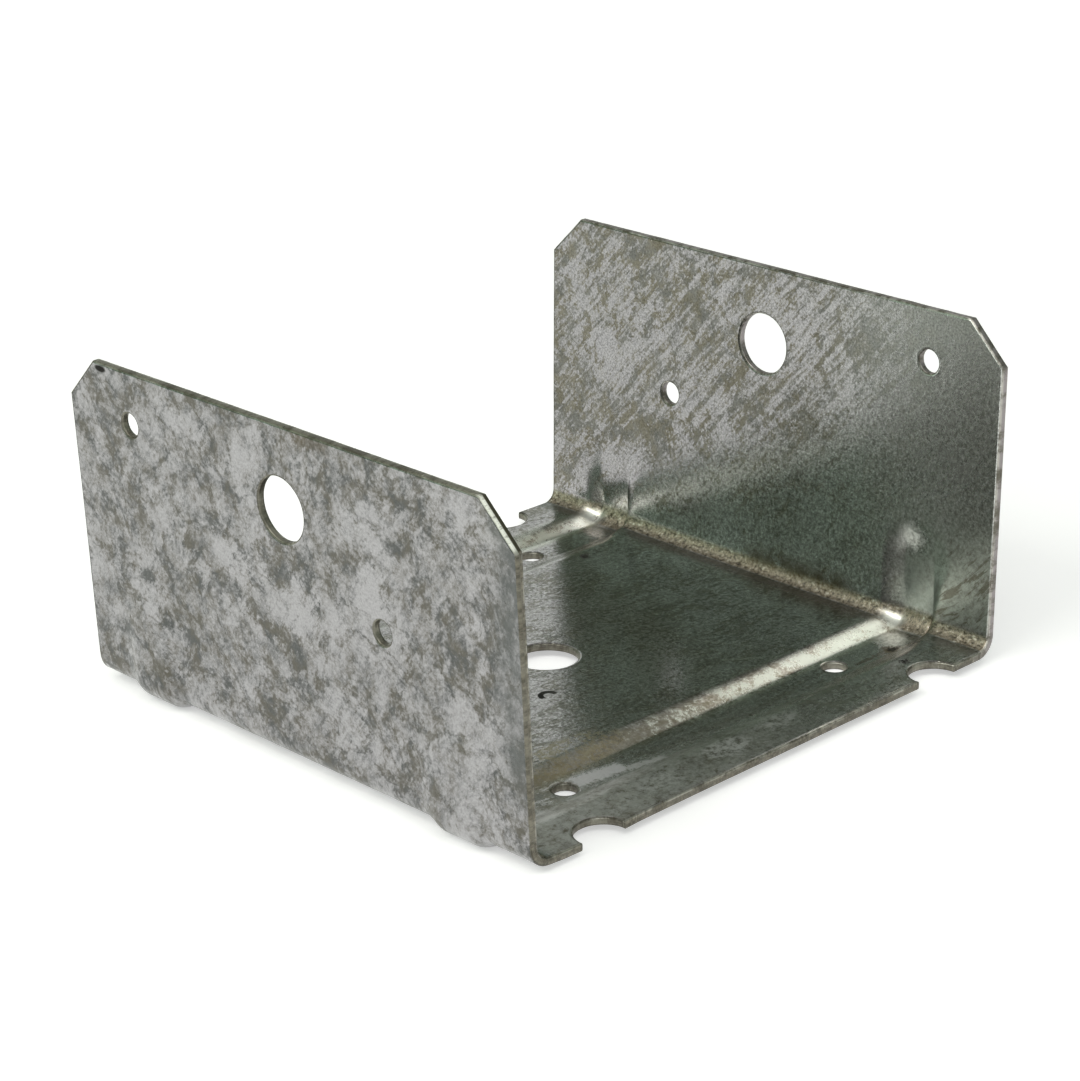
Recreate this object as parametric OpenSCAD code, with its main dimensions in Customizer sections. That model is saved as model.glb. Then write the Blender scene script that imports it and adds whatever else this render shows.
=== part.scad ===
// Post base: one steel sheet folded into a channel that holds the foot of a square timber post.
// Two pressed ribs run across the base, round both folds and up into the flanges.
// Origin: on the resting plane, under the middle of the base. X runs across the flanges,
// Y runs along the folds and Z points up. Lengths are in millimetres, angles in degrees.

/* [Sheet] */
// Thickness of the sheet
sheet_t = 2; // [1.5:0.1:3]
// Inside radius of the two folds
fold_r = 3; // [2:0.1:6]

/* [Channel] */
// Clear width between the flanges, just above the folds
inside_w = 139.7; // [130:0.1:190]
// Length along the folds, from open end to open end
body_l = 138.5; // [130:0.5:190]
// Height of the flange tops above the underside of the base
flange_h = 76.5; // [74:0.5:120]
// Outward lean of each flange
flange_lean = 1.7992; // [0:Upright, 1.7992:Sprung open]
// Length that is cut off each top corner of a flange, along either edge
corner_cut = 9.3; // [4:0.1:12]

/* [Ribs] */
// Distance from the middle of the base to the centre line of each rib
rib_y = 48.3; // [42:0.1:52]
// Depth to which each rib is pressed outward
rib_depth = 1.6; // [1.3:0.1:2]
// Width of the flat crest of each rib
rib_crest_w = 8; // [7:0.1:10]
// Height of the round end of each rib above the underside of the base
rib_top = 25; // [22:0.5:30]

/* [Flange holes] */
// Diameter of the bolt hole in each flange
bolt_d = 14.3; // [8:0.1:18]
// Height of the bolt holes above the underside of the base
bolt_z = 58; // [50:0.5:62]
// Diameter of the nail holes in the flanges and the base
nail_d = 5.5; // [3:0.1:6]
// Distance of the upper nail hole from the middle of its flange
nail_high_y = 48.9; // [40:0.1:55]
// Height of the upper nail holes above the underside of the base
nail_high_z = 64.4; // [55:0.1:66]
// Distance of the lower nail hole from the middle of its flange
nail_low_y = 29.2; // [15:0.1:35]
// Height of the lower nail holes above the underside of the base
nail_low_z = 39.3; // [32:0.1:42]

/* [Base holes] */
// Diameter of the anchor hole in the middle of the base
anchor_d = 14.5; // [8:0.1:30]
// Distance of the nail holes in the ribs from the middle of the base, across the flanges
base_nail_x = 42; // [20:0.1:55]
// Radius of the half-round notches in the open edges of the base
notch_r = 6; // [3:0.1:7]
// Distance of the notches from the middle of the base, across the flanges
notch_x = 51.8; // [30:0.1:54]
// Distance from the open edge in to the centre of each notch
notch_inset = 0.4; // [0:0.1:2]

/* [Hidden] */
$fn = 96;
// Room that a cutter runs past the surface it cuts
cut_room = 10;
// Level of the underside of the base above the resting plane
base_z = rib_depth;
// Place of the fold's axis
fold_x = inside_w / 2 - fold_r;
fold_z = base_z + sheet_t + fold_r;
// Angle through which each flange is folded up
fold_angle = 90 - flange_lean;
// A rib's wall is two equal bends that meet at a slope of 3 in 4, the angle of a 3-4-5 triangle.
// So the wall runs 3 depths across, and its bend centres lie 5 depths apart.
slope_rise = 3;
slope_run = 4;
rib_wall_w = 3 * rib_depth;
rib_bend_r = (5 * rib_depth - sheet_t) / 2;
// Half width of a rib, out to where the flat sheet starts
rib_half_w = rib_crest_w / 2 + rib_wall_w;
// Distances up the flange, from the fold's end
flange_w = up_flange(flange_h);
rib_end_w = up_flange(rib_top) - rib_half_w;

// Distance up the leaning flange at a height above the underside of the base
function up_flange(height) = (height + base_z - fold_z) / cos(flange_lean);

// One bend of a rib's wall: a slice of a ring as thick as the sheet
module bend_slice() {
  reach = rib_bend_r + sheet_t;
  intersection() {
    difference() {
      circle(r = rib_bend_r + sheet_t);
      circle(r = rib_bend_r);
    }
    polygon([[0, 0], [slope_run * reach, 0], [slope_run * reach, slope_rise * reach]]);
  }
}

// Half of a rib's section, from its centre line to the flat sheet
module rib_half_section() {
  translate([rib_depth, 0])
    square([sheet_t, rib_crest_w / 2]);
  translate([rib_depth - rib_bend_r, rib_crest_w / 2])
    bend_slice();
  translate([sheet_t + rib_bend_r, rib_half_w])
    rotate(180)
      bend_slice();
}

// Section of the sheet along the folds: x from the inner face outward, y along the folds
module sheet_section() {
  flat_in = rib_y - rib_half_w;
  flat_out = rib_y + rib_half_w;
  for (end = [0, 1]) {
    mirror([0, end]) {
      square([sheet_t, flat_in]);
      translate([0, flat_out])
        square([sheet_t, body_l / 2 - flat_out]);
      translate([0, rib_y]) {
        rib_half_section();
        mirror([0, 1])
          rib_half_section();
      }
    }
  }
}

// Outline of the flange above the straight run of the ribs: x up the flange, y along the folds
module flange_outline() {
  difference() {
    polygon([
      [rib_end_w, -body_l / 2],
      [flange_w - corner_cut, -body_l / 2],
      [flange_w, corner_cut - body_l / 2],
      [flange_w, body_l / 2 - corner_cut],
      [flange_w - corner_cut, body_l / 2],
      [rib_end_w, body_l / 2]
    ]);
    for (side = [-1, 1])
      translate([rib_end_w, side * rib_y])
        circle(r = rib_half_w);
    translate([up_flange(nail_high_z), -nail_high_y])
      circle(d = nail_d);
    translate([up_flange(nail_low_z), nail_low_y])
      circle(d = nail_d);
  }
}

// Round end of a rib: half a turn of the rib's section, about its own z axis
module rib_end() {
  rotate([0, 0, -90])
    rotate_extrude(angle = 180)
      mirror([1, -1])
        rib_half_section();
}

// Flange in the fold's own frame: x outward from the fold's axis, y along the folds, z up the flange
module flange() {
  linear_extrude(height = rib_end_w)
    translate([fold_r, 0])
      sheet_section();
  translate([fold_r, 0, 0])
    rotate([0, -90, 0])
      mirror([0, 0, 1])
        linear_extrude(height = sheet_t)
          flange_outline();
  for (side = [-1, 1])
    translate([fold_r, side * rib_y, rib_end_w])
      rotate([0, -90, 0])
        mirror([0, 0, 1])
          rib_end();
}

// Half of the channel: the base out from its middle, one fold and one flange
module channel_half() {
  translate([0, 0, base_z + sheet_t])
    rotate([0, 90, 0])
      linear_extrude(height = fold_x)
        sheet_section();
  translate([fold_x, 0, fold_z]) {
    rotate([90, 90, 0])
      rotate_extrude(angle = fold_angle)
        translate([fold_r, 0])
          sheet_section();
    rotate([0, flange_lean, 0])
      flange();
  }
}

// Bolt, anchor and nail holes, and the notches in the open edges
module openings() {
  span = inside_w + 2 * flange_h;
  translate([-span / 2, 0, base_z + bolt_z])
    rotate([0, 90, 0])
      cylinder(d = bolt_d, h = span);
  translate([0, 0, -cut_room])
    cylinder(d = anchor_d, h = base_z + sheet_t + 2 * cut_room);
  for (across = [-1, 1])
    for (along = [-1, 1]) {
      translate([across * base_nail_x, along * rib_y, -cut_room])
        cylinder(d = nail_d, h = base_z + sheet_t + 2 * cut_room);
      translate([across * notch_x, along * (body_l / 2 - notch_inset), -cut_room])
        cylinder(r = notch_r, h = base_z + sheet_t + 2 * cut_room);
    }
}

// The folded sheet
module post_base() {
  color("darkgray")
    difference() {
      for (turn = [0, 180])
        rotate([0, 0, turn])
          channel_half();
      openings();
    }
}

post_base();
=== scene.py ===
"""A galvanised post base: one steel sheet, punched, pressed and folded, on a plain studio stage."""

import math
from types import SimpleNamespace

import bmesh
import bpy
import numpy as np
from bpy.props import FloatProperty, FloatVectorProperty, PointerProperty
from mathutils import Matrix, Vector, noise


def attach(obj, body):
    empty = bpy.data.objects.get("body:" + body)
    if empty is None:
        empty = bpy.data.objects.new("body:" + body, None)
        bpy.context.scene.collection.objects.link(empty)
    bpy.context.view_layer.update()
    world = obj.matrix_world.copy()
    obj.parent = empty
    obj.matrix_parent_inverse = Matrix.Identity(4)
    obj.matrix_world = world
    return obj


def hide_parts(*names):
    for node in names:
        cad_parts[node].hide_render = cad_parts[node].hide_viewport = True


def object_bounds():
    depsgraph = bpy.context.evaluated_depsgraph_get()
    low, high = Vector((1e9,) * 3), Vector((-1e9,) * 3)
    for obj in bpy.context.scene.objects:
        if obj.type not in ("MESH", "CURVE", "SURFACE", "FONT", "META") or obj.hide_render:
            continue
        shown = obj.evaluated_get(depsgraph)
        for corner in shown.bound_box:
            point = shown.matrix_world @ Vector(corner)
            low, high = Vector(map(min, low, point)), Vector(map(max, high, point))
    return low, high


bl_info = {
    "name": "Galvanised post base",
    "version": (1, 0, 0),
    "blender": (4, 5, 0),
    "location": "3D View > Sidebar > Post base",
    "description": "Folds a punched and ribbed galvanised sheet and sets it on a studio stage",
    "category": "Object",
}

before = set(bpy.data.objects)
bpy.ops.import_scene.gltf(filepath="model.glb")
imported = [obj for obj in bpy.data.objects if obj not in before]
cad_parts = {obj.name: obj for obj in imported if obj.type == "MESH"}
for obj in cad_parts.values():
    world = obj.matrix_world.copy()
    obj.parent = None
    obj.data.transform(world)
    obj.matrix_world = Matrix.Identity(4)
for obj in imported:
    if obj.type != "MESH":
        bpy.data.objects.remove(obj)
CAD_LOW, CAD_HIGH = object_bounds()

NODE = "post_base"
BODY = "root"
PIECE = "folded_sheet"
BLANK = "blank"
MM = 0.001
LENGTH = CAD_HIGH.y - CAD_LOW.y

# Steps in the rounding of an edge, and in a whole round hole
RIM_STEPS = 4
WIDE_HOLE_STEPS = 64
NAIL_HOLE_STEPS = 36
NOTCH_STEPS = 28

# Millimetres within which two points are one, and a point lies on a line
MERGE = 0.001
CLOSE = 0.0005

# Millimetres of unevenness: length of the sheet's waves, and length and size of the wander in its cuts
WAVE_LENGTH = 31
WANDER_LENGTH = 3.1
WANDER = 0.05

# Slices of the noise that the waves and the wander are taken from, and the seed of the wander
WAVE_SLICE = 4.7
WANDER_SLICE = 9.3
WANDER_SEED = 7

# Millimetres beside a rib where the blank's lines are drawn in, and the step that finds its slopes
DRAWN_IN = 4
SLOPE_STEP = 0.05

# Share of a rib's depth that is lost up the flange
RIB_FADE = 0.4

# Millimetres between the two faces of the sheet in the grain, so that each has its own
FACE_SHIFT = 70

# Colours of the zinc's lesser tones
GREY_STAIN = (0.098, 0.102, 0.10)
OLIVE_STREAK = (0.195, 0.18, 0.132)
GREY_STREAK = (0.19, 0.19, 0.172)
CALM_ZINC = (0.28, 0.28, 0.26)
# Paler zinc towards the near end of the right flange's inner face
PALER_NEAR_END = (0.54, 0.56, 0.53)
GRIT_DARK = (0.62, 0.62, 0.62)
GRIT_LIGHT = (1.38, 1.38, 1.38)
MURK_DARK = (0.64, 0.62, 0.62)
MURK_LIGHT = (1.36, 1.36, 1.38)
# Black, laid thinly over the flanges' inner faces as painted shade
SHADOW = (0, 0, 0)

# Colours of the ribs and folds
WALL_TAN = (0.30, 0.265, 0.19)
# Burnished zinc that also stands for a painted highlight on the ribs' far walls
BURNISH_AND_HIGHLIGHT = (0.79, 0.815, 0.75)
FOLD_PIT = (0.07, 0.058, 0.04)
FOLD_SPARKLE = (0.85, 0.82, 0.72)
CREASE = (0.14, 0.16, 0.14)
RIB_FOOT = (0.24, 0.27, 0.255)

# Colours of the scuffs, the dirt and the specks, and of a painted highlight and a painted reflection
SCUFF_DARK = (0.31, 0.315, 0.29)
SCUFF_PALE = (0.52, 0.555, 0.52)
# A painted highlight at the tip of the right flange's near rib
PAINTED_HIGHLIGHT = (0.9, 0.91, 0.86)
# A painted reflection in the near rib's groove by the fold
PAINTED_REFLECTION = (0.82, 0.84, 0.8)
GREY_DUST = (0.50, 0.50, 0.48)
BROWN_DUST = (0.20, 0.19, 0.165)
TAN_DIRT = (0.34, 0.285, 0.17)
WIPED_ZINC = (0.86, 0.82, 0.87)
SOOT = (0.012, 0.011, 0.01)
OXIDE = (0.68, 0.68, 0.68)
FRESH_ZINC = (0.72, 0.72, 0.68)
SHADED_ZINC = (0.118, 0.125, 0.122)

# Colours of the sheared edges
EDGE_DARK = (0.13, 0.118, 0.09)
EDGE_PALE = (0.36, 0.325, 0.33)
EDGE_BROWN = (0.23, 0.21, 0.165)
EDGE_DIRT = (0.075, 0.07, 0.055)
EDGE_PIT = (0.02, 0.018, 0.014)
EDGE_GLINT = (0.72, 0.70, 0.62)
WORN_RIM = (0.55, 0.54, 0.48)
# At one corner: painted shade on the inner half, and a rubbed bright outer half that is also a painted
# highlight
CORNER_SHADE = (0.11, 0.098, 0.07)
CORNER_WORN_HIGHLIGHT = (0.88, 0.89, 0.81)

# The photograph's viewpoint: turn, tilt and roll in degrees, place in metres, lens in millimetres
CAMERA_ANGLES = (-43.6905, 21.6181, -1.3551)
CAMERA_PLACE = (-0.4349465, -0.4539952, 0.2805303)
CAMERA_LENS = 102.288

# Turn of the cards that the metal mirrors, in degrees, and the light they give of their own
CARD_TURN = 43.7
GREY_CARD = (0.8, 0.8, 0.8)
GREY_CARD_GLOW = 0.31
GREEN_CARD_GLOW = 1.06

# The floor's width, and the distances between which it turns to pure white, in metres
FLOOR_WIDTH = 14
FLOOR_FADE = (0.3, 0.9)

# Colours of the dim room, level and overhead
ROOM_LEVEL = (0.22, 0.27, 0.22)
ROOM_ABOVE = (0.5, 0.51, 0.48)

# Fewest faces of a sheet that was filled as it should be
FEWEST_FACES = 1000


class SheetSizes(bpy.types.PropertyGroup):
    """Sizes of the sheet, its ribs and its holes."""

    thickness: FloatProperty(
        name="Thickness", description="Thickness of the sheet", default=2.0 * MM, unit="LENGTH"
    )
    fold_radius: FloatProperty(
        name="Fold radius", description="Inside radius of the folds", default=3.0 * MM, unit="LENGTH"
    )
    inside_width: FloatProperty(
        name="Inside width", description="Room between the flanges", default=139.7 * MM, unit="LENGTH"
    )
    length: FloatProperty(
        name="Length", description="Length of the channel", default=LENGTH, unit="LENGTH"
    )
    flange_height: FloatProperty(
        name="Flange height", description="Height of the flanges", default=76.5 * MM, unit="LENGTH"
    )
    lean: FloatProperty(
        name="Lean", description="How far the flanges spring open",
        default=math.radians(1.7992), unit="ROTATION"
    )
    corner_cut: FloatProperty(
        name="Corner cut", description="Size of the cut top corners", default=9.3 * MM, unit="LENGTH"
    )
    edge_round: FloatProperty(
        name="Edge rounding", description="Rounding of the sheared edges", default=0.62 * MM, unit="LENGTH"
    )
    rib_place: FloatProperty(
        name="Rib place", description="Rib's distance from the middle", default=48.3 * MM, unit="LENGTH"
    )
    rib_depth: FloatProperty(
        name="Rib depth", description="How far a rib is pressed out", default=1.6 * MM, unit="LENGTH"
    )
    rib_crest: FloatProperty(
        name="Rib crest", description="Width of a rib's flat crest", default=8.0 * MM, unit="LENGTH"
    )
    rib_wall: FloatProperty(
        name="Rib wall", description="Width of a rib's wall on the base", default=4.8 * MM, unit="LENGTH"
    )
    rib_wall_tight: FloatProperty(
        name="Tight rib wall", description="Width of a rib's wall in a fold",
        default=2.0 * MM, unit="LENGTH"
    )
    rib_shoulder: FloatProperty(
        name="Rib shoulder", description="Extra width of a rib's soft shoulders",
        default=1.6 * MM, unit="LENGTH"
    )
    rib_top: FloatProperty(
        name="Rib top", description="Height of a rib's round end", default=25.0 * MM, unit="LENGTH"
    )
    bolt_hole: FloatProperty(
        name="Bolt hole", description="Diameter of the bolt holes", default=14.3 * MM, unit="LENGTH"
    )
    bolt_height: FloatProperty(
        name="Bolt height", description="Height of the bolt holes", default=58.0 * MM, unit="LENGTH"
    )
    anchor_hole: FloatProperty(
        name="Anchor hole", description="Diameter of the anchor hole", default=14.5 * MM, unit="LENGTH"
    )
    nail_hole: FloatProperty(
        name="Nail hole", description="Diameter of the nail holes", default=5.5 * MM, unit="LENGTH"
    )
    high_nail: FloatVectorProperty(
        name="High nail", description="Offset and height of the high nail hole", size=2,
        default=(48.9 * MM, 64.4 * MM), unit="LENGTH"
    )
    low_nail: FloatVectorProperty(
        name="Low nail", description="Offset and height of the low nail hole", size=2,
        default=(29.2 * MM, 39.3 * MM), unit="LENGTH"
    )
    base_nail: FloatProperty(
        name="Base nail", description="Base nail's distance from the middle",
        default=42.0 * MM, unit="LENGTH"
    )
    notch_radius: FloatProperty(
        name="Notch radius", description="Radius of the half-round notches",
        default=6.0 * MM, unit="LENGTH"
    )
    notch_place: FloatProperty(
        name="Notch place", description="Notch's distance from the middle",
        default=51.8 * MM, unit="LENGTH"
    )
    notch_inset: FloatProperty(
        name="Notch inset", description="Notch centre's distance inside the edge",
        default=0.4 * MM, unit="LENGTH"
    )
    waviness: FloatProperty(
        name="Waviness", description="How far the sheet strays from flat", default=0.10 * MM, unit="LENGTH"
    )
    droop: FloatProperty(
        name="Droop", description="How far one bumped corner of the base hangs",
        default=0.55 * MM, unit="LENGTH"
    )


class ZincFinish(bpy.types.PropertyGroup):
    """Colours of the zinc on the sheet."""

    bright: FloatVectorProperty(
        name="Bright zinc", description="Smooth flecks of zinc", size=3, subtype="COLOR",
        min=0, max=1, default=(0.395, 0.388, 0.395)
    )
    dull: FloatVectorProperty(
        name="Dull zinc", description="Weathered zinc between the flecks", size=3, subtype="COLOR",
        min=0, max=1, default=(0.125, 0.118, 0.10)
    )
    crazed: FloatVectorProperty(
        name="Crazed zinc", description="Zinc that cracked in the folds", size=3, subtype="COLOR",
        min=0, max=1, default=(0.37, 0.315, 0.235)
    )
    dirt: FloatVectorProperty(
        name="Dirt", description="Brown dirt in the crease and on the base", size=3, subtype="COLOR",
        min=0, max=1, default=(0.11, 0.088, 0.055)
    )
    cut_edge: FloatVectorProperty(
        name="Cut edge", description="Sheared edges of the sheet", size=3, subtype="COLOR",
        min=0, max=1, default=(0.29, 0.278, 0.228)
    )


class StageLook(bpy.types.PropertyGroup):
    """Floor, light and surroundings of the stage."""

    floor: FloatVectorProperty(
        name="Floor", description="Colour of the floor", size=3, subtype="COLOR",
        min=0, max=1, default=(0.82, 0.82, 0.82)
    )
    floor_glow: FloatProperty(
        name="Floor glow", description="Light that the floor gives to the eye", default=0.45
    )
    room: FloatVectorProperty(
        name="Room", description="Colour of the dim wall behind on the left", size=3, subtype="COLOR",
        min=0, max=1, default=(0.308, 0.40, 0.312)
    )
    key_power: FloatProperty(
        name="Key light", description="Power of the light on the left", default=6.5, unit="POWER"
    )
    top_power: FloatProperty(
        name="Top light", description="Power of the light overhead", default=4.0, unit="POWER"
    )


def in_mm(group):
    """The group's lengths in millimetres, and its angles as they are."""
    values = {}
    for name in group.__annotations__:
        value = getattr(group, name)
        if name == "lean":
            values[name] = value
        elif hasattr(value, "__len__"):
            values[name] = [part / MM for part in value]
        else:
            values[name] = value / MM
    sheet = SimpleNamespace(**values)
    sheet.fold_x = sheet.inside_width / 2 - sheet.fold_radius
    sheet.fold_z = sheet.rib_depth + sheet.thickness + sheet.fold_radius
    sheet.fold_angle = math.pi / 2 - sheet.lean
    sheet.middle_radius = sheet.fold_radius + sheet.thickness / 2
    sheet.fold_end = sheet.fold_x + sheet.middle_radius * sheet.fold_angle
    sheet.edge = sheet.fold_end + up_flange(sheet, sheet.flange_height)
    sheet.rib_half = sheet.rib_crest / 2 + sheet.rib_wall
    sheet.rib_end = up_flange(sheet, sheet.rib_top) - sheet.rib_half
    return sheet


def up_flange(sheet, height):
    """Distance up the leaning flange at a height above the underside of the base."""
    return (height + sheet.rib_depth - sheet.fold_z) / math.cos(sheet.lean)


def line_to(bm, start, s, y):
    """Draws a straight cut on from a vertex and returns its end."""
    made = bmesh.ops.extrude_vert_indiv(bm, verts=[start])
    end = made["verts"][0]
    end.co = (s, y, 0)
    return end


def arc_to(bm, start, centre, angle, steps):
    """Draws a round cut on from a vertex, about a centre, and returns its end."""
    made = bmesh.ops.spin(
        bm, geom=[start], cent=centre, axis=(0, 0, 1), angle=angle, steps=steps, use_duplicate=False
    )
    return next(part for part in made["geom_last"] if isinstance(part, bmesh.types.BMVert))


def draw_outline(bm, sheet):
    """Draws a quarter of the flat blank's outline, with its notch and cut corner, and mirrors it twice."""
    end_y = sheet.length / 2
    reach = math.sqrt(sheet.notch_radius**2 - sheet.notch_inset**2)
    turn = math.pi + 2 * math.atan2(sheet.notch_inset, reach)
    centre = (sheet.notch_place, end_y - sheet.notch_inset, 0)
    tip = bm.verts.new((0, end_y, 0))
    tip = line_to(bm, tip, sheet.notch_place - reach, end_y)
    tip = arc_to(bm, tip, centre, turn, NOTCH_STEPS)
    tip = line_to(bm, tip, sheet.edge - sheet.corner_cut, end_y)
    tip = line_to(bm, tip, sheet.edge, end_y - sheet.corner_cut)
    line_to(bm, tip, sheet.edge, 0)
    for axis in ("X", "Y"):
        bmesh.ops.mirror(bm, geom=bm.verts[:] + bm.edges[:], axis=axis, merge_dist=MERGE)
    bmesh.ops.remove_doubles(bm, verts=bm.verts[:], dist=MERGE)


def punch(bm, s, y, diameter, segments):
    """Draws one punched hole in the flat blank."""
    bmesh.ops.create_circle(
        bm, cap_ends=False, radius=diameter / 2, segments=segments, matrix=Matrix.Translation((s, y, 0))
    )


def draw_holes(bm, sheet):
    """Draws every hole: the flanges' are half a turn apart, as the part is."""
    punch(bm, 0, 0, sheet.anchor_hole, WIDE_HOLE_STEPS)
    for side in (-1, 1):
        bolt = sheet.fold_end + up_flange(sheet, sheet.bolt_height)
        punch(bm, side * bolt, 0, sheet.bolt_hole, WIDE_HOLE_STEPS)
        high = sheet.fold_end + up_flange(sheet, sheet.high_nail[1])
        punch(bm, side * high, -side * sheet.high_nail[0], sheet.nail_hole, NAIL_HOLE_STEPS)
        low = sheet.fold_end + up_flange(sheet, sheet.low_nail[1])
        punch(bm, side * low, side * sheet.low_nail[0], sheet.nail_hole, NAIL_HOLE_STEPS)
        for end in (-1, 1):
            punch(bm, side * sheet.base_nail, end * sheet.rib_place, sheet.nail_hole, NAIL_HOLE_STEPS)


def round_edges(bm, sheet):
    """Insets the face ring by ring along every cut and lowers the rims, so the edges are round."""
    faces = bm.faces[:]
    drops = {v: sheet.edge_round for v in bm.verts}
    gone = 0
    for step in range(1, RIM_STEPS + 1):
        turn = math.pi / 2 * step / RIM_STEPS
        inset = sheet.edge_round * (1 - math.cos(turn))
        ring = bmesh.ops.inset_region(
            bm, faces=faces, use_boundary=True, use_even_offset=True, thickness=inset - gone, depth=0
        )
        gone = inset
        for v in {v for face in ring["faces"] for v in face.verts}:
            drops.setdefault(v, sheet.edge_round * (1 - math.sin(turn)))
    for v in bm.verts:
        v.co.z = sheet.thickness - drops[v]


def close_blank(bm, sheet):
    """Copies the upper face to the underside and draws the sheared walls down between them."""
    rims = [edge for edge in bm.edges if edge.is_boundary]
    copy = bmesh.ops.duplicate(bm, geom=bm.verts[:] + bm.edges[:] + bm.faces[:])["geom"]
    for part in copy:
        if isinstance(part, bmesh.types.BMVert):
            part.co.z = sheet.thickness - part.co.z
    bmesh.ops.reverse_faces(bm, faces=[part for part in copy if isinstance(part, bmesh.types.BMFace)])
    walls = bmesh.ops.extrude_edge_only(bm, edges=rims)["geom"]
    for part in walls:
        if isinstance(part, bmesh.types.BMVert):
            part.co.z = sheet.edge_round
    bmesh.ops.remove_doubles(bm, verts=bm.verts[:], dist=MERGE)
    bmesh.ops.recalc_face_normals(bm, faces=bm.faces[:])


def spread(start, end, steps):
    """Evenly spaced places from start towards end, without end."""
    return [start + (end - start) * step / steps for step in range(steps)]


def score_blank(bm, sheet):
    """Cuts the blank along lines, close together where it will bend, and joins what lies between."""
    half = sheet.rib_crest / 2
    reach = sheet.rib_half + sheet.rib_shoulder
    across = (
        spread(0, sheet.fold_x, 16)
        + spread(sheet.fold_x, sheet.fold_end, 12)
        + spread(sheet.fold_end, sheet.fold_end + 24, 14)
        + spread(sheet.fold_end + 24, sheet.edge, 11)
    )
    along = (
        spread(0, sheet.rib_place - reach, 9)
        + spread(sheet.rib_place - reach, sheet.rib_place - half, 14)
        + spread(sheet.rib_place - half, sheet.rib_place + half, 4)
        + spread(sheet.rib_place + half, sheet.rib_place + reach, 14)
        + spread(sheet.rib_place + reach, sheet.length / 2, 3)
    )
    lines = [(Vector((1, 0, 0)), place) for place in across]
    lines += [(Vector((0, 1, 0)), place) for place in along]
    for direction, place in lines:
        for side in (1, -1) if place else (1,):
            bmesh.ops.bisect_plane(
                bm,
                geom=bm.verts[:] + bm.edges[:] + bm.faces[:],
                dist=CLOSE,
                plane_co=direction * place * side,
                plane_no=direction,
            )
    levels = (0, sheet.thickness)
    slanted = []
    for edge in bm.edges:
        run = edge.verts[1].co - edge.verts[0].co
        if abs(run.x) < CLOSE or abs(run.y) < CLOSE:
            continue
        heights = [v.co.z for face in edge.link_faces for v in face.verts]
        if all(any(abs(height - level) < CLOSE for level in levels) for height in heights):
            slanted.append(edge)
    bmesh.ops.dissolve_edges(bm, edges=slanted, use_verts=True, use_face_split=False)


def smooth(value, low, high):
    """Rises gently from 0 at low to 1 at high."""
    share = np.clip((value - low) / (high - low), 0, 1)
    return share * share * (3 - 2 * share)


def crisp(sheet, s, y):
    """How crisp a rib's wall is: 1 in a fold and less up the flange, on one side of each rib only."""
    out = np.abs(s)
    easing = sheet.fold_end + 6
    end = sheet.fold_end + sheet.rib_end + 4
    loosened = 0.45 * smooth(out, sheet.fold_end, easing) + 0.55 * smooth(out, easing, end)
    nearer = y < np.sign(y) * sheet.rib_place
    return nearer * smooth(out, sheet.fold_x - 7, sheet.fold_x + 1) * (1 - loosened)


def wall_width(sheet, s, y, depth):
    """Width of a rib's walls, which are tight on the inner face of a fold and looser up the flange."""
    narrowed = sheet.rib_wall - sheet.rib_wall_tight
    return sheet.rib_wall - narrowed * crisp(sheet, s, y) * depth / sheet.thickness


def gather(sheet, s, y, depth):
    """Draws the sheet in beside the ribs, so that its lines follow their walls."""
    wall = wall_width(sheet, s, y, depth)
    off = np.abs(y) - sheet.rib_place
    crest = sheet.rib_crest / 2
    clear = sheet.rib_half + DRAWN_IN
    away = np.abs(off)
    on_wall = crest + (away - crest) * wall / sheet.rib_wall
    beside = clear - (clear - away) * (clear - crest - wall) / (clear - sheet.rib_half)
    moved = np.where(away < crest, away, np.where(away < sheet.rib_half, on_wall, beside))
    moved = np.where(away < clear, moved, away)
    return np.sign(y) * (sheet.rib_place + np.sign(off) * moved)


def rib_out(sheet, s, y, depth):
    """How far the ribs are pressed out at a place on the blank."""
    up = np.abs(s) - sheet.fold_end
    off = np.abs(np.abs(y) - sheet.rib_place)
    away = np.hypot(off, np.maximum(up - sheet.rib_end, 0))
    wall = wall_width(sheet, s, y, depth)
    shoulder = sheet.rib_shoulder * (1 - smooth(crisp(sheet, s, y), 0, 0.4))
    share = np.clip((away - sheet.rib_crest / 2) / (wall + shoulder), 0, 1)
    lean = shoulder / wall
    share = share * (1 + lean) / (1 + lean * share * (2 - share))
    fade = 1 - RIB_FADE * smooth(up, -1, sheet.rib_end)
    return sheet.rib_depth * fade * (1 - smooth(share, 0, 1))


def stray(sheet, s, y):
    """How far the sheet strays from its true form: slight waves, and one bumped corner."""
    places = (Vector((a / WAVE_LENGTH, b / WAVE_LENGTH, WAVE_SLICE)) for a, b in zip(s, y))
    waves = [noise.noise(place) for place in places]
    hang = smooth(-y, 57, 69) * smooth(-s, 40, 56) * (1 - smooth(-s, 60, 72))
    return sheet.waviness * np.array(waves) + sheet.droop * hang


def middle(sheet, s, y, out):
    """Where the middle of the sheet lies, folded up, for places on the blank pressed out so far."""
    side = np.sign(s)
    along = np.abs(s)
    turn = np.clip((along - sheet.fold_x) / sheet.middle_radius, 0, sheet.fold_angle)
    up = np.maximum(along - sheet.fold_end, 0)
    radius = sheet.middle_radius + out
    x = np.minimum(along, sheet.fold_x) + radius * np.sin(turn) + up * np.cos(turn)
    z = sheet.fold_z - radius * np.cos(turn) + up * np.sin(turn)
    return np.stack([side * x, y, z], axis=1)


def pressed(sheet, s, y, depth):
    """Where the middle of the sheet lies with its ribs, waves and bumped corner."""
    return middle(sheet, s, y, rib_out(sheet, s, y, depth) + stray(sheet, s, y))


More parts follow.
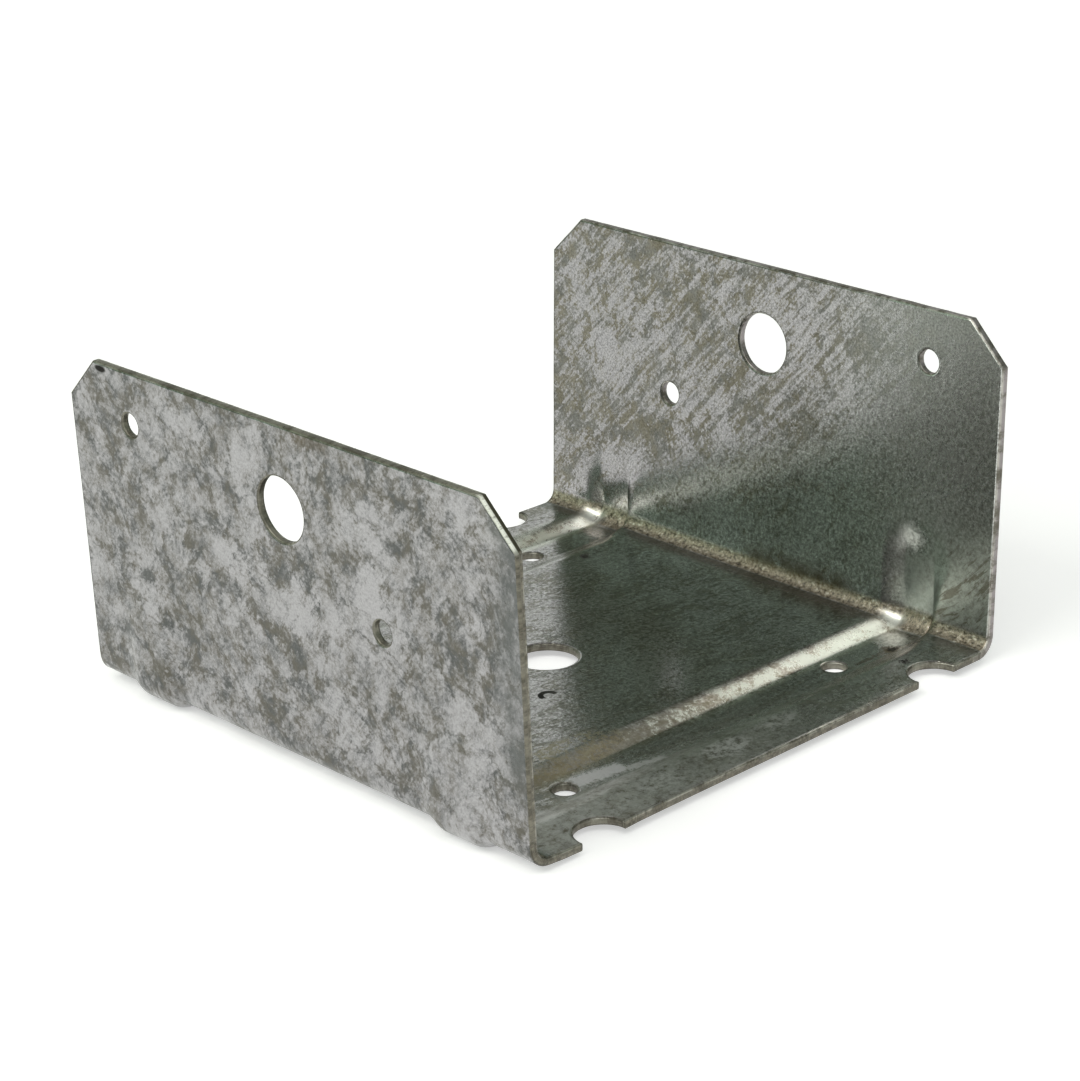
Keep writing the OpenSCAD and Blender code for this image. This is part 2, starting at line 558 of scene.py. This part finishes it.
def fold_up(sheet, blank):
    """Folds the flat blank: each point goes to the folded middle and out along the sheet's own normal."""
    s, y, depth = blank.T
    y = gather(sheet, s, y, depth)
    here = pressed(sheet, s, y, depth)
    slopes = []
    for ds, dy in ((SLOPE_STEP, 0), (0, SLOPE_STEP)):
        slopes.append(pressed(sheet, s + ds, y + dy, depth) - pressed(sheet, s - ds, y - dy, depth))
    normal = np.cross(slopes[0], slopes[1])
    normal /= np.linalg.norm(normal, axis=1)[:, None]
    return here + (depth - sheet.thickness / 2)[:, None] * normal


def roughen(blank):
    """Shifts places on the blank a little within it, so that the sheared edges aren't quite straight."""
    noise.seed_set(WANDER_SEED)
    places = (Vector((s / WANDER_LENGTH, y / WANDER_LENGTH, WANDER_SLICE)) for s, y, depth in blank)
    shift = [noise.noise_vector(place) for place in places]
    moved = blank.copy()
    moved[:, :2] += WANDER * np.array(shift)[:, :2]
    return moved


class Wire:
    """A shader socket that adds Math nodes when it is used in a sum."""

    def __init__(self, graph, socket):
        self.graph = graph
        self.socket = socket

    def sum(self, operation, first, second):
        """A sum on two numbers."""
        return self.graph.node("ShaderNodeMath", {"operation": operation}, {0: first, 1: second})

    def __add__(self, other):
        return self.sum("ADD", self, other)

    def __radd__(self, other):
        return self.sum("ADD", other, self)

    def __sub__(self, other):
        return self.sum("SUBTRACT", self, other)

    def __rsub__(self, other):
        return self.sum("SUBTRACT", other, self)

    def __mul__(self, other):
        return self.sum("MULTIPLY", self, other)

    def __rmul__(self, other):
        return self.sum("MULTIPLY", other, self)

    def __abs__(self):
        return self.sum("ABSOLUTE", self, 0)

    def most(self, other):
        """The greater of two numbers."""
        return self.sum("MAXIMUM", self, other)


class Graph:
    """A node tree that is written as expressions."""

    def __init__(self, tree):
        self.tree = tree
        tree.nodes.clear()

    def node(self, kind, settings=None, inputs=None, output=0):
        """Adds a node, sets it, feeds its sockets and returns one of its outputs."""
        made = self.tree.nodes.new(kind)
        for name, value in (settings or {}).items():
            setattr(made, name, value)
        for name, value in (inputs or {}).items():
            if isinstance(value, Wire):
                self.tree.links.new(value.socket, made.inputs[name])
            else:
                made.inputs[name].default_value = value
        if len(made.outputs) == 0:
            return made
        return Wire(self, made.outputs[output])

    def split(self, vector):
        """The three numbers of a vector."""
        made = self.tree.nodes.new("ShaderNodeSeparateXYZ")
        self.tree.links.new(vector.socket, made.inputs[0])
        return [Wire(self, socket) for socket in made.outputs]

    def join(self, x, y, z):
        """A vector of three numbers."""
        return self.node("ShaderNodeCombineXYZ", None, {0: x, 1: y, 2: z})

    def maths(self, operation, value):
        """A sum on one number."""
        return self.node("ShaderNodeMath", {"operation": operation}, {0: value})

    def rise(self, value, low, high):
        """0 below low, 1 above high and smooth between, either way round."""
        settings = {"interpolation_type": "SMOOTHSTEP"}
        ends = {"Value": value, "From Min": low, "From Max": high}
        return self.node("ShaderNodeMapRange", settings, ends)

    def blend(self, share, first, second):
        """Blends two numbers."""
        return self.node("ShaderNodeMix", {"data_type": "FLOAT"}, {0: share, 2: first, 3: second})

    def tint(self, share, first, second, how="MIX"):
        """Blends two colours."""
        settings = {"data_type": "RGBA", "blend_type": how}
        colours = [c if isinstance(c, Wire) else (*c, 1) for c in (first, second)]
        return self.node("ShaderNodeMix", settings, {0: share, 6: colours[0], 7: colours[1]}, 2)

    def grain(self, vector, scale, detail, rough, distort=0.0):
        """Cloudy noise, from about 0.2 to 0.8."""
        look = {"Scale": scale, "Detail": detail, "Roughness": rough, "Distortion": distort}
        return self.node("ShaderNodeTexNoise", None, {"Vector": vector, **look})


def spot(g, s, y, place, reach):
    """1 in a round spot on the blank and 0 outside it."""
    along = s - place[0]
    across = y - place[1]
    return g.rise(along * along + across * across, reach * reach, reach * reach * 0.3)


def scratch(g, s, y, start, end, width):
    """1 along a line on the blank and 0 beside it."""
    way = Vector(end) - Vector(start)
    length = way.length
    way.normalize()
    along = (s - start[0]) * way.x + (y - start[1]) * way.y
    beside = abs((s - start[0]) * way.y - (y - start[1]) * way.x)
    within = g.rise(along, -1, 1) * g.rise(along, length + 1, length - 1)
    return g.rise(beside, width, width * 0.4) * within


class Skin:
    """The surface of the sheet while it is painted, coat on coat."""

    def __init__(self, graph, sheet):
        self.graph = graph
        self.sheet = sheet
        place = graph.node("ShaderNodeAttribute", {"attribute_name": BLANK}, None, "Vector")
        self.s, self.y, self.depth = graph.split(place)
        t = sheet.thickness
        self.out = abs(self.s)
        self.up = self.out - sheet.fold_end
        self.inner = graph.rise(self.depth, 0.45 * t, 0.55 * t)
        self.outer = 1 - self.inner
        self.cut = graph.rise(self.depth, 0.01 * t, 0.12 * t) * graph.rise(self.depth, 0.99 * t, 0.88 * t)
        self.face = graph.join(self.s, self.y, self.inner * FACE_SHIFT)
        slant = self.y + self.up.most(0) * 0.86
        slanted = graph.join(self.s * 0.28, slant, self.inner * FACE_SHIFT)
        self.streak = graph.grain(slanted, 0.48, 5, 0.75, 0.3)
        self.cloud = graph.grain(self.face, 0.17, 6, 0.72, 0.25)
        self.speck = graph.grain(self.face, 1.0, 4, 0.75)
        self.crumbs = graph.grain(self.face, 0.8, 4, 0.82)
        self.rub = graph.grain(self.face, 0.5, 4, 0.8)
        self.ragged_s = self.s + (self.crumbs - 0.5) * 5
        self.ragged_y = self.y + (self.speck - 0.5) * 5
        self.colour = None
        self.rough = None
        self.metal = None
        self.wall = None
        self.fold = None
        self.scuff = None
        self.tip_highlight = None

    def coat(self, share, colour, rough=None):
        """Lays a colour over a share of the surface, with its own roughness if one is given."""
        self.colour = self.graph.tint(share, self.colour, colour)
        if rough is not None:
            self.rough = self.graph.blend(share, self.rough, rough)

    def shade(self, share, dark, light, grain):
        """Multiplies the colour by a grain between two greys."""
        self.colour = self.graph.tint(share, self.colour, self.graph.tint(grain, dark, light), "MULTIPLY")


def left_face_drift(skin):
    """Paler islands and darker shadows in the zinc on the left flange's outer face."""
    g = skin.graph
    s = skin.ragged_s + (skin.cloud - 0.5) * 20
    y = skin.ragged_y + (skin.streak - 0.5) * 20
    islands = spot(g, s, y, (-104, -3), 8).most(spot(g, s, y, (-108, 18), 7))
    islands = islands.most(spot(g, s, y, (-85, -15), 9)).most(spot(g, s, y, (-115, -26), 7))
    shadows = scratch(g, s, y, (-112, 32), (-94, -4), 3.5).most(spot(g, s, y, (-112, 2), 5))
    shadows = shadows.most(spot(g, s, y, (-136, 19), 7)).most(spot(g, s, y, (-98, 36), 13) * 0.6)
    return skin.outer * (islands * 0.05 - shadows * 0.045)


def paint_flecks(skin, finish):
    """Crumbled pale zinc with darker veins: slanted up the flanges within, and calmer low on the right.
    Painted shade darkens the flanges' inner faces, and partly the outer faces low down.
    """
    g = skin.graph
    patch = g.grain(skin.face, 0.045, 3, 0.55, 0.3)
    vein = g.rise(abs(g.grain(skin.face, 0.05, 5, 0.7, 0.3) - 0.5), 0.045, 0.0)
    thread = g.rise(abs(g.grain(skin.face, 0.13, 4, 0.7, 0.3) - 0.5), 0.05, 0.0)
    outer_fleck = patch.most(0.47) * 0.3 + skin.cloud * 0.34 + skin.streak * 0.14
    outer_fleck = outer_fleck + skin.speck * 0.22 - thread * 0.035
    inner_fleck = patch * 0.22 + skin.streak * 0.44 + skin.speck * 0.34
    calm = skin.inner * g.rise(skin.s, -48, -22) * g.rise(skin.up + skin.y * 0.5, 44, 14)
    # Duller zinc low on the outer faces: darker towards the bottom, partly painted shade
    low = skin.outer * g.rise(skin.up, 34, 6)
    fleck = g.blend(skin.inner, outer_fleck, inner_fleck) - vein * 0.06 + calm * 0.03 - low * 0.012
    fleck = fleck + left_face_drift(skin)
    bright = g.rise(fleck, g.blend(skin.inner, 0.385, 0.448), g.blend(skin.inner, 0.566, 0.54))
    stain = g.rise(g.grain(skin.face, 0.2, 3, 0.6), 0.4, 0.62)
    dull = g.tint(stain, finish.dull, GREY_STAIN)
    dull = g.tint(skin.inner * 0.8, dull, g.tint(stain, OLIVE_STREAK, GREY_STREAK))
    dull = g.tint(calm * 0.45, dull, CALM_ZINC)
    skin.colour = g.tint(bright, dull, finish.bright)
    skin.rough = g.blend(bright, g.blend(calm, 0.32, 0.22), 0.14) + (skin.speck - 0.5) * 0.1
    # Painted shade: black over the flanges' inner faces, heavier in the calm zone
    shaded_inner_flanges = skin.inner * g.rise(skin.up, -2, 8)
    skin.coat(shaded_inner_flanges * (0.16 + calm * 0.06), SHADOW)
    # Paler towards the near end of the right flange's inner face
    skin.coat(shaded_inner_flanges * g.rise(skin.s, 0, 60) * g.rise(skin.y, -10, -60) * 0.75, PALER_NEAR_END, 0.3)
    grit = g.rise(g.grain(skin.face, 1.9, 3, 0.75), 0.32, 0.68)
    skin.shade(g.blend(skin.inner, 0.35, 1.0), GRIT_DARK, GRIT_LIGHT, grit)
    murk = g.rise(skin.speck * 0.5 + skin.crumbs * 0.5, 0.4, 0.6)
    skin.shade(calm, MURK_DARK, MURK_LIGHT, murk)


def paint_rib_walls(skin):
    """The far walls of the ribs on the base, burnished by the die and painted pale as a highlight, more so
    towards the right.
    """
    g = skin.graph
    off = abs(skin.y) - skin.sheet.rib_place
    beyond = g.rise(g.maths("SIGN", skin.y) * off, -1, 2)
    flat = g.rise(skin.up, -0.9, -3.4)
    skin.wall = g.rise(abs(off), 1.5, 5.0) * g.rise(abs(off), 11.5, 7.0) * skin.inner * flat * beyond
    nearer = g.rise(skin.y, 20, -20)
    rub = skin.rub * 0.4 + skin.cloud * 0.6 - g.rise(skin.s, 66, -62) * (0.05 + nearer * 0.13)
    skin.coat(skin.wall * 0.6, WALL_TAN)
    # Burnished zinc, painted pale as a highlight on the far walls, reaching into the folds and stronger to
    # the right
    skin.coat(skin.wall * g.rise(rub, 0.38, 0.5), BURNISH_AND_HIGHLIGHT, 0.31)


def paint_folds(skin, finish):
    """Crazed zinc in the folds, tan with dark pits and bright sparkles, and a dark crease beside it."""
    g = skin.graph
    start = skin.sheet.fold_x
    band = g.rise(skin.out, start + 0.5, start + 1.5) * g.rise(skin.up, 0.8, -1.2)
    skin.fold = band * skin.inner * (1 - skin.wall * 0.85)
    crazed = g.tint(g.rise(skin.crumbs, 0.38, 0.54), FOLD_PIT, finish.crazed)
    crazed = g.tint(g.rise(skin.crumbs, 0.56, 0.66), crazed, FOLD_SPARKLE)
    crease = g.rise(skin.out, start - 5, start - 1) * g.rise(skin.out, start + 1.6, start + 0.6)
    skin.coat(crease * skin.inner * (1 - skin.wall) * 0.55, CREASE, 0.4)
    skin.coat(skin.fold * 0.95, crazed, 0.38)


def paint_scuffs(skin):
    """Scuffs on the right flange's near rib, a duller patch at its foot and a painted highlight at its
    tip, a painted reflection in the groove by the fold, and a dusty strip along the front of the base.
    """
    g = skin.graph
    sheet = skin.sheet
    s, y = skin.ragged_s, skin.ragged_y
    skin.scuff = skin.inner * g.rise(skin.s, sheet.fold_end - 1, sheet.fold_end + 2)
    skin.scuff = skin.scuff * g.rise(y, -32, -52) * g.rise(skin.up, 32, 12)
    scuffed = g.tint(g.rise(skin.rub, 0.36, 0.6), SCUFF_DARK, SCUFF_PALE)
    end = spot(g, skin.out, abs(skin.y), (sheet.fold_end + 18, sheet.rib_place - 1), 6.0)
    skin.coat(skin.scuff * (0.85 - 0.8 * end), scuffed, 0.42)
    foot = skin.inner * g.rise(skin.s, sheet.fold_end - 1, sheet.fold_end + 1) * g.rise(skin.up, 13, 5)
    foot = foot * g.rise(abs(y + sheet.rib_place + 1), 8, 5)
    skin.coat(foot * 0.65, RIB_FOOT, 0.5)
    mottle = g.rise(skin.speck, 0.4, 0.6)
    # A painted highlight, matt white, at the round tip of the right flange's near rib
    tip = (sheet.fold_end + 17.6, 2.4 - sheet.rib_place)
    highlight_dab = spot(g, s, y, tip, 4.4) * 0.35 + spot(g, s, y, tip, 2.6) * 0.45
    skin.tip_highlight = highlight_dab * skin.inner * (0.55 + 0.45 * mottle)
    skin.coat(skin.tip_highlight, PAINTED_HIGHLIGHT, 0.45)
    # A painted reflection of the bright rib wall on the groove's floor by the fold
    pale = spot(g, s, y, (sheet.fold_x - 5, 0.5 - sheet.rib_place), 5)
    skin.coat(pale * skin.inner * (0.35 + 0.35 * mottle), PAINTED_REFLECTION, 0.45)
    front = skin.inner * g.rise(skin.up, -6, -9) * g.rise(y, -45, -57) * (0.35 + 0.65 * g.rise(s, 55, -45))
    dusty = g.tint(g.rise(skin.rub * 0.5 + skin.cloud * 0.5, 0.38, 0.58), BROWN_DUST, GREY_DUST)
    skin.coat(front * 0.75, dusty, 0.42)


def paint_dirt(skin, finish):
    """Brown dirt, and the zinc wiped clean beside it."""
    g = skin.graph
    s, y = skin.ragged_s, skin.ragged_y
    brown = skin.scuff * g.rise(y, -54, -58) * g.rise(skin.streak, 0.5, 0.6)
    smear = skin.inner * g.rise(s, 5, -35) * g.rise(y, -36, -43) * g.rise(skin.rub, 0.42, 0.34)
    smudge = g.rise(skin.up, 5, 0) * g.rise(skin.up, -4, 0) * spot(g, s * 0.1, y, (7.2, -13), 20)
    smudge = smudge * skin.inner * g.rise(skin.cloud, 0.3, 0.5)
    rust = spot(g, s, y, (57.5, -51.5), 2.4).most(scratch(g, s, y, (46, -51), (57, -51.5), 0.6) * 0.8)
    chip = skin.outer * g.rise(s, -140.5, -143) * g.rise(abs(y + 11), 7, 4)
    mark = (smear * 0.6).most(chip * 0.5).most(smudge * 0.85).most(rust * skin.inner).most(brown * 0.7)
    skin.coat(mark, finish.dirt, 0.36)
    tan = skin.inner * spot(g, s * 0.4, y, (-12.5, -39), 7)
    tan = tan * g.rise(skin.cloud * 0.4 + skin.crumbs * 0.6, 0.46, 0.54)
    skin.coat((smear * g.rise(skin.speck, 0.44, 0.58)).most(tan * 0.9) * 0.8, TAN_DIRT, 0.4)
    wiped = scratch(g, s, y, (-39, -47.5), (-26, -49.5), 3.0)
    wiped = wiped.most(scratch(g, s, y, (-30, -50), (-17, -53), 1.4) * 0.7)
    skin.coat(wiped * skin.inner * 0.85, WIPED_ZINC, 0.4)


def paint_specks(skin):
    """Black specks and a curl, pale oxide, fine scratches, and the shaded end of the left flange."""
    g = skin.graph
    s, y = skin.ragged_s, skin.ragged_y
    ring = g.maths("SQRT", (skin.s + 14.5) * (skin.s + 14.5) + (skin.y + 15.5) * (skin.y + 15.5))
    curl = g.rise(abs(ring - 1.8), 0.8, 0.5) * g.rise(skin.y, -16.2, -15.4)
    black = spot(g, s, y, (48, 36), 1.5).most(spot(g, s, y, (52, -60), 1.2)).most(curl)
    black = black.most(spot(g, s, y, (58, -51.5), 1.4) * 0.9)
    pit = spot(g, skin.s, skin.y * 0.4, (-143.3, 23), 0.9)
    skin.coat((black * skin.inner).most(pit * skin.outer), SOOT, 0.6)
    long_s = s * 0.6
    oxide = spot(g, long_s, y, (-4.5, -61), 4.5).most(spot(g, long_s, y, (6, -60), 4.0) * 0.8)
    oxide = oxide.most(spot(g, long_s, y, (-17, -62), 4.0) * 0.6)
    skin.coat(oxide * skin.inner * g.rise(skin.rub, 0.42, 0.56) * 0.7, OXIDE, 0.45)
    light = scratch(g, skin.s, y, (25, -30), (38, -40), 0.3).most(spot(g, s, y, (34, -1), 0.9))
    light = light.most(scratch(g, skin.s, y, (30, -20), (36, -31), 0.25))
    light = light.most(scratch(g, skin.s, skin.y, (95, -53), (121, -67), 0.45) * 0.3)
    skin.coat(light * skin.inner * 0.5, FRESH_ZINC)
    left = -skin.sheet.fold_end
    strip = skin.outer * g.rise(skin.y, -59, -67) * g.rise(skin.s, left - 4, left - 20)
    skin.coat(strip * (0.4 + 0.5 * g.rise(skin.cloud, 0.6, 0.4)), SHADED_ZINC)


def paint_edges(skin, finish):
    """Sheared edges: blotched, with pits and glints, browner in front, and at one corner rubbed bright,
    with a painted highlight on the outer half and painted shade on the inner half.
    """
    g = skin.graph
    t = skin.sheet.thickness
    blotch = g.grain(g.join(skin.s, skin.y, skin.depth * 0.4), 0.28, 5, 0.74)
    pale = g.tint(g.rise(skin.s, 60, 75), finish.cut_edge, EDGE_PALE)
    sheared = g.tint(g.rise(blotch, 0.38, 0.6), EDGE_DARK, pale)
    front = g.rise(skin.y, -66, -68.5) * g.rise(skin.s, 70, 62)
    sheared = g.tint(front * 0.65, sheared, g.tint(g.rise(skin.crumbs, 0.4, 0.6), EDGE_DIRT, EDGE_BROWN))
    sheared = g.tint(g.rise(skin.crumbs, 0.34, 0.28), sheared, EDGE_PIT)
    sheared = g.tint(g.rise(skin.crumbs, 0.64, 0.72) * 0.7, sheared, EDGE_GLINT)
    skin.coat(skin.cut * 0.92, sheared, 0.5)
    rim = g.rise(skin.depth, 0.7 * t, 0.8 * t) * g.rise(skin.depth, 0.99 * t, 0.93 * t)
    skin.coat(rim * g.rise(blotch, 0.4, 0.6) * 0.6, WORN_RIM, 0.28)
    # At the left flange's near top corner: painted shade over the cut, then partly real wear and a painted
    # highlight over its outer half
    corner = skin.cut * g.rise(skin.s, -134.5, -136.5) * g.rise(skin.y, -58.5, -60.5)
    skin.coat(corner, CORNER_SHADE, 0.5)
    worn_highlight = corner * g.rise(skin.depth, 0.52 * t, 0.4 * t) * (0.45 + 0.55 * g.rise(skin.crumbs, 0.38, 0.54))
    skin.coat(worn_highlight, CORNER_WORN_HIGHLIGHT, 0.5)
    # The painted highlights at the corner and at the rib's tip are not metal
    skin.metal = 1 - worn_highlight.most(skin.tip_highlight)


def zinc_material(sheet, finish):
    """Galvanised zinc, painted coat on coat."""
    material = bpy.data.materials.new("galvanised_zinc")
    material.use_nodes = True
    g = Graph(material.node_tree)
    skin = Skin(g, sheet)
    paint_flecks(skin, finish)
    paint_rib_walls(skin)
    paint_folds(skin, finish)
    paint_scuffs(skin)
    paint_dirt(skin, finish)
    paint_specks(skin)
    paint_edges(skin, finish)
    height = skin.speck * g.blend(skin.inner, 0.022, 0.015) + skin.cloud * g.blend(skin.inner, 0.1, 0.05)
    height = height + skin.fold * skin.crumbs * 0.2
    bump = g.node("ShaderNodeBump", None, {"Strength": 1.0, "Distance": MM, "Height": height})
    shader = g.node(
        "ShaderNodeBsdfPrincipled",
        None,
        {"Base Color": skin.colour, "Metallic": skin.metal, "Roughness": skin.rough, "Normal": bump},
    )
    g.node("ShaderNodeOutputMaterial", None, {"Surface": shader})
    return material


def make_sheet(sizes, finish):
    """Makes the whole sheet as a maker does: cut, punched, pressed and folded."""
    sheet = in_mm(sizes)
    bm = bmesh.new()
    draw_outline(bm, sheet)
    draw_holes(bm, sheet)
    bmesh.ops.triangle_fill(bm, use_beauty=True, use_dissolve=False, edges=bm.edges[:], normal=(0, 0, 1))
    round_edges(bm, sheet)
    close_blank(bm, sheet)
    score_blank(bm, sheet)
    blank = roughen(np.array([v.co for v in bm.verts], float))
    for v, place in zip(bm.verts, fold_up(sheet, blank)):
        v.co = Vector(place) * MM
    bmesh.ops.recalc_face_normals(bm, faces=bm.faces[:])
    for face in bm.faces:
        face.smooth = True
    mesh = bpy.data.meshes.new(PIECE)
    bm.to_mesh(mesh)
    bm.free()
    layer = mesh.attributes.new(BLANK, "FLOAT_VECTOR", "POINT")
    layer.data.foreach_set("vector", blank.astype(np.float32).ravel())
    mesh.materials.append(zinc_material(sheet, finish))
    piece = bpy.data.objects.new(PIECE, mesh)
    bpy.context.scene.collection.objects.link(piece)
    even = piece.modifiers.new("Even normals", "WEIGHTED_NORMAL")
    even.mode = "FACE_AREA"
    even.weight = 50
    return piece


class POSTBASE_OT_folded_sheet(bpy.types.Operator):
    """Make the folded sheet and let it stand for its solid"""

    bl_idname = "post_base.folded_sheet"
    bl_label = "Folded sheet"

    def execute(self, context):
        scene = context.scene
        piece = make_sheet(scene.post_base_sheet, scene.post_base_zinc)
        if len(piece.data.polygons) < FEWEST_FACES:
            raise RuntimeError("the sheet was not filled")
        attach(piece, BODY)
        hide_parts(NODE)
        return {"FINISHED"}


def floor_material(look):
    """A pale floor that the eye and the metal see as white, with the object's shadow on it."""
    material = bpy.data.materials.new("pale_floor")
    material.use_nodes = True
    g = Graph(material.node_tree)
    path = "ShaderNodeLightPath"
    seen = g.node(path, None, None, "Is Camera Ray").most(g.node(path, None, None, "Is Glossy Ray"))
    seen = seen.most(g.node(path, None, None, "Is Transmission Ray"))
    matt = g.node("ShaderNodeBsdfDiffuse", None, {"Color": (*look.floor, 1)})
    place = g.node("ShaderNodeNewGeometry", None, None, "Position")
    away = g.node("ShaderNodeVectorMath", {"operation": "LENGTH"}, {0: place}, "Value")
    level = g.blend(g.rise(away, *FLOOR_FADE), look.floor_glow, 1.0)
    glow = g.node("ShaderNodeEmission", None, {"Color": (1, 1, 1, 1), "Strength": seen * level})
    both = g.node("ShaderNodeAddShader", None, {0: matt, 1: glow})
    under = g.node("ShaderNodeNewGeometry", None, None, "Backfacing")
    clear = g.node("ShaderNodeBsdfTransparent")
    shader = g.node("ShaderNodeMixShader", None, {0: under, 1: both, 2: clear})
    g.node("ShaderNodeOutputMaterial", None, {"Surface": shader})
    return material


def card_material(name, colour, level):
    """A plain matt card that gives a little light of its own."""
    material = bpy.data.materials.new(name)
    material.use_nodes = True
    g = Graph(material.node_tree)
    matt = g.node("ShaderNodeBsdfDiffuse", None, {"Color": (*colour, 1)})
    glow = g.node("ShaderNodeEmission", None, {"Color": (*colour, 1), "Strength": level})
    shader = g.node("ShaderNodeAddShader", None, {0: matt, 1: glow})
    g.node("ShaderNodeOutputMaterial", None, {"Surface": shader})
    return material


def make_plane(name, width, depth, matrix, material):
    """A flat piece of the stage."""
    bm = bmesh.new()
    bmesh.ops.create_grid(bm, x_segments=1, y_segments=1, size=0.5)
    bmesh.ops.scale(bm, vec=(width, depth, 1), verts=bm.verts[:])
    bmesh.ops.transform(bm, matrix=matrix, verts=bm.verts[:])
    mesh = bpy.data.meshes.new(name)
    bm.to_mesh(mesh)
    bm.free()
    mesh.materials.append(material)
    piece = bpy.data.objects.new(name, mesh)
    bpy.context.scene.collection.objects.link(piece)
    return piece


def make_lamp(name, place, aim, width, height, power, colour):
    """A soft lamp that points at a place."""
    data = bpy.data.lights.new(name, "AREA")
    data.shape = "RECTANGLE"
    data.size = width
    data.size_y = height
    data.energy = power
    data.color = colour
    lamp = bpy.data.objects.new(name, data)
    lamp.location = place
    lamp.rotation_euler = (Vector(aim) - Vector(place)).to_track_quat("-Z", "Y").to_euler()
    bpy.context.scene.collection.objects.link(lamp)
    return lamp


def make_camera():
    """The photograph's own viewpoint, measured from the part's known sizes."""
    azimuth, elevation, roll = (math.radians(angle) for angle in CAMERA_ANGLES)
    level = math.cos(elevation)
    back = Vector((math.sin(azimuth) * level, -math.cos(azimuth) * level, math.sin(elevation)))
    right = Vector((math.cos(azimuth), math.sin(azimuth), 0))
    up = back.cross(right)
    across = right * math.cos(roll) + up * math.sin(roll)
    upright = up * math.cos(roll) - right * math.sin(roll)
    data = bpy.data.cameras.new("photo_camera")
    data.sensor_width = 36
    data.lens = CAMERA_LENS
    camera = bpy.data.objects.new("photo_camera", data)
    turn = Matrix((across, upright, back)).transposed()
    camera.matrix_world = Matrix.Translation(CAMERA_PLACE) @ turn.to_4x4()
    bpy.context.scene.collection.objects.link(camera)
    bpy.context.scene.camera = camera


def make_room():
    """A dim even room, lighter overhead."""
    world = bpy.data.worlds.new("dim_room")
    bpy.context.scene.world = world
    world.use_nodes = True
    g = Graph(world.node_tree)
    heading = g.node("ShaderNodeTexCoord", None, None, "Generated")
    height = g.split(heading)[2]
    colour = g.tint(g.rise(height, 0.42, 0.85), ROOM_LEVEL, ROOM_ABOVE)
    shade = g.node("ShaderNodeBackground", None, {"Color": colour, "Strength": 1.0})
    g.node("ShaderNodeOutputWorld", None, {"Surface": shade})


def upright(azimuth, distance, height):
    """Stands a plane up, facing the part, away from it in a direction."""
    turn = Matrix.Rotation(math.radians(azimuth), 4, "Z")
    return turn @ Matrix.Translation((0, distance, height)) @ Matrix.Rotation(math.pi / 2, 4, "X")


class POSTBASE_OT_stage(bpy.types.Operator):
    """Set up the floor, backdrop, lamps, surroundings and camera"""

    bl_idname = "post_base.stage"
    bl_label = "Stage"

    def execute(self, context):
        look = context.scene.post_base_stage
        white = floor_material(look)
        make_plane("floor", FLOOR_WIDTH, FLOOR_WIDTH, Matrix.Identity(4), white)
        grey = card_material("grey_card", GREY_CARD, GREY_CARD_GLOW)
        green = card_material("green_card", tuple(look.room), GREEN_CARD_GLOW)
        make_plane("backdrop", 0.9, 0.6, upright(-CARD_TURN, 1.05, 0.32), grey)
        make_plane("far_wall", 2.2, 1.1, upright(CARD_TURN, 1.7, 0.58), green)
        make_lamp(
            "key_light", place=(-0.88, 0.06, 0.96), aim=(0, 0, 0.03), width=0.8, height=0.6,
            power=look.key_power, colour=(1, 1, 0.95)
        )
        make_lamp(
            "top_light", place=(-0.42, -0.62, 1.15), aim=(0, 0, 0), width=0.8, height=0.8,
            power=look.top_power, colour=(1, 1, 1)
        )
        make_camera()
        make_room()
        context.scene.view_settings.view_transform = "Standard"
        return {"FINISHED"}


class POSTBASE_PT_panel(bpy.types.Panel):
    """Sizes, colours and buttons of the post base"""

    bl_idname = "POSTBASE_PT_panel"
    bl_label = "Post base"
    bl_space_type = "VIEW_3D"
    bl_region_type = "UI"
    bl_category = "Post base"

    def draw(self, context):
        scene = context.scene
        for group in (scene.post_base_sheet, scene.post_base_zinc, scene.post_base_stage):
            box = self.layout.box()
            for name in group.__annotations__:
                box.prop(group, name)
        for operator in (POSTBASE_OT_folded_sheet, POSTBASE_OT_stage):
            self.layout.operator(operator.bl_idname)


GROUPS = {
    "post_base_sheet": SheetSizes,
    "post_base_zinc": ZincFinish,
    "post_base_stage": StageLook,
}
CLASSES = (*GROUPS.values(), POSTBASE_OT_folded_sheet, POSTBASE_OT_stage, POSTBASE_PT_panel)


def register():
    for kind in CLASSES:
        bpy.utils.register_class(kind)
    for name, group in GROUPS.items():
        setattr(bpy.types.Scene, name, PointerProperty(type=group))


def unregister():
    for name in GROUPS:
        delattr(bpy.types.Scene, name)
    for kind in reversed(CLASSES):
        bpy.utils.unregister_class(kind)


def main():
    register()
    bpy.ops.post_base.stage()
    bpy.ops.post_base.folded_sheet()


if __name__ == "__main__":
    main()
